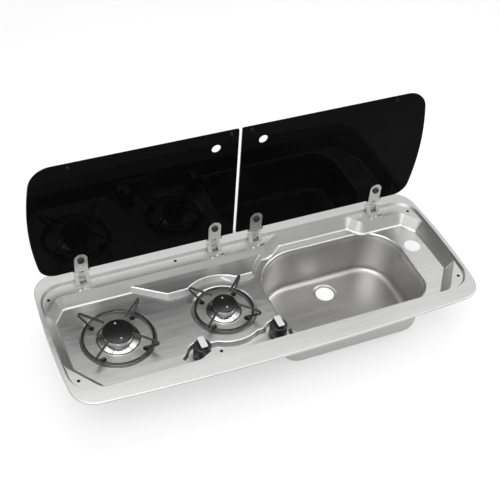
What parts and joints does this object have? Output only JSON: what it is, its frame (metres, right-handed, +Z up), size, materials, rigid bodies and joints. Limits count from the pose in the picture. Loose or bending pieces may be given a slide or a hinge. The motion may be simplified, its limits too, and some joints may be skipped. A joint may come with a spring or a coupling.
{
  "type": "kitchen sink and hob unit",
  "caption": "Drop-in steel unit for a caravan: one bowl, two gas burners with knobs and pot supports, and two black glass lids hinged at the back.",
  "frame": {"origin": "on the worktop plane under the rim, in the middle of the length and half-way between the front and back corners of the rim", "axes": "+X to the right along the length, +Y from the front to the hinged back, +Z up"},
  "size_m": [0.9, 0.37, 0.4475],
  "materials": {
    "pan_steel": "fine satin sheet, 1 mm",
    "foam_seal": "black closed-cell foam",
    "screw_steel": "bright zinc",
    "pipe_steel": "galvanised tube",
    "pipe_aluminium": "plain tube",
    "brass_fitting": "turned",
    "burner_aluminium": "die cast",
    "black_enamel": "matt enamel",
    "bright_steel": "bright steel",
    "bracket_steel": "stainless, satin",
    "black_rubber": "matt",
    "black_plastic": "fine grain",
    "white_plastic": "smooth",
    "spring_steel": "spring wire",
    "tap_alloy": "die cast",
    "black_glass": "black toughened glass, polished",
    "dark_screw": "black cap"
  },
  "bodies": {
    "base": {"pan": "pan_steel", "rim_seal": "foam_seal", "cap_screws": "screw_steel", "tap_screws": "screw_steel", "gas_rail": "pipe_steel", "gas_inlet_nut": "brass_fitting", "hinge_pins": "screw_steel", "base_screws": "screw_steel", "rivets": "screw_steel", "backing_plates": "bracket_steel", "burner_body_left": "burner_aluminium", "burner_body_right": "burner_aluminium", "burner_crown_left": "burner_aluminium", "burner_crown_right": "burner_aluminium", "burner_cap_left": "black_enamel", "burner_cap_right": "black_enamel", "drip_ring_left": "bright_steel", "drip_ring_right": "bright_steel", "jet_holder_left": "brass_fitting", "jet_holder_right": "brass_fitting", "support_grommets_left": "black_rubber", "support_grommets_right": "black_rubber", "tap_spring_left": "spring_steel", "tap_spring_right": "spring_steel", "tap_bonnet_left": "tap_alloy", "tap_bonnet_right": "tap_alloy", "gas_tap_left": "tap_alloy", "gas_tap_right": "tap_alloy", "feed_pipe_left": "pipe_aluminium", "feed_pipe_right": "pipe_aluminium", "hinge_base_1": "bracket_steel", "hinge_base_2": "bracket_steel", "hinge_base_3": "bracket_steel", "hinge_base_4": "bracket_steel"},
    "lid_left": {"glass_lid_left": "black_glass", "leaf_pads_left": "black_rubber", "leaf_screws_left": "dark_screw", "clamp_discs_left": "black_plastic", "lid_buffers_left": "black_rubber", "hinge_leaf_1": "bracket_steel", "hinge_leaf_2": "bracket_steel"},
    "lid_right": {"glass_lid_right": "black_glass", "leaf_pads_right": "black_rubber", "leaf_screws_right": "dark_screw", "clamp_discs_right": "black_plastic", "lid_buffers_right": "black_rubber", "hinge_leaf_3": "bracket_steel", "hinge_leaf_4": "bracket_steel"},
    "push_left": {"tap_plunger_left": "brass_fitting"},
    "push_right": {"tap_plunger_right": "brass_fitting"},
    "turn_left": {"knob_left": "black_plastic", "knob_grip_cap_left": "white_plastic", "tap_spindle_left": "brass_fitting"},
    "turn_right": {"knob_right": "black_plastic", "knob_grip_cap_right": "white_plastic", "tap_spindle_right": "brass_fitting"},
    "support_left": {"pot_support_left": "black_enamel"},
    "support_right": {"pot_support_right": "black_enamel"}
  },
  "joints": [
    {"name": "lid_left_hinge", "type": "hinge", "parent": "base", "child": "lid_left", "pos_m": [0, 0.1435, 0.011], "axis": [1, 0, 0], "range_deg": [0, 90]},
    {"name": "lid_right_hinge", "type": "hinge", "parent": "base", "child": "lid_right", "pos_m": [0, 0.1435, 0.011], "axis": [1, 0, 0], "range_deg": [0, 90]},
    {"name": "knob_left_push", "type": "slide", "parent": "base", "child": "push_left", "axis": [0, 0, -1], "range_m": [0, 0.003], "stiffness_N_per_m": 900, "springref_m": -0.004, "deforming": ["tap_spring_left"]},
    {"name": "knob_left_turn", "type": "hinge", "parent": "push_left", "child": "turn_left", "pos_m": [-0.167, -0.1025, -0.02], "axis": [0, 0, 1], "range_deg": [0, 210]},
    {"name": "knob_right_push", "type": "slide", "parent": "base", "child": "push_right", "axis": [0, 0, -1], "range_m": [0, 0.003], "stiffness_N_per_m": 900, "springref_m": -0.004, "deforming": ["tap_spring_right"]},
    {"name": "knob_right_turn", "type": "hinge", "parent": "push_right", "child": "turn_right", "pos_m": [-0.001, -0.1025, -0.02], "axis": [0, 0, 1], "range_deg": [0, 210]},
    {"name": "pot_support_left_lift", "type": "slide", "parent": "base", "child": "support_left", "axis": [0, 0, 1], "range_m": [0, 0.06]},
    {"name": "pot_support_right_lift", "type": "slide", "parent": "base", "child": "support_right", "axis": [0, 0, 1], "range_m": [0, 0.06]}
  ]
}
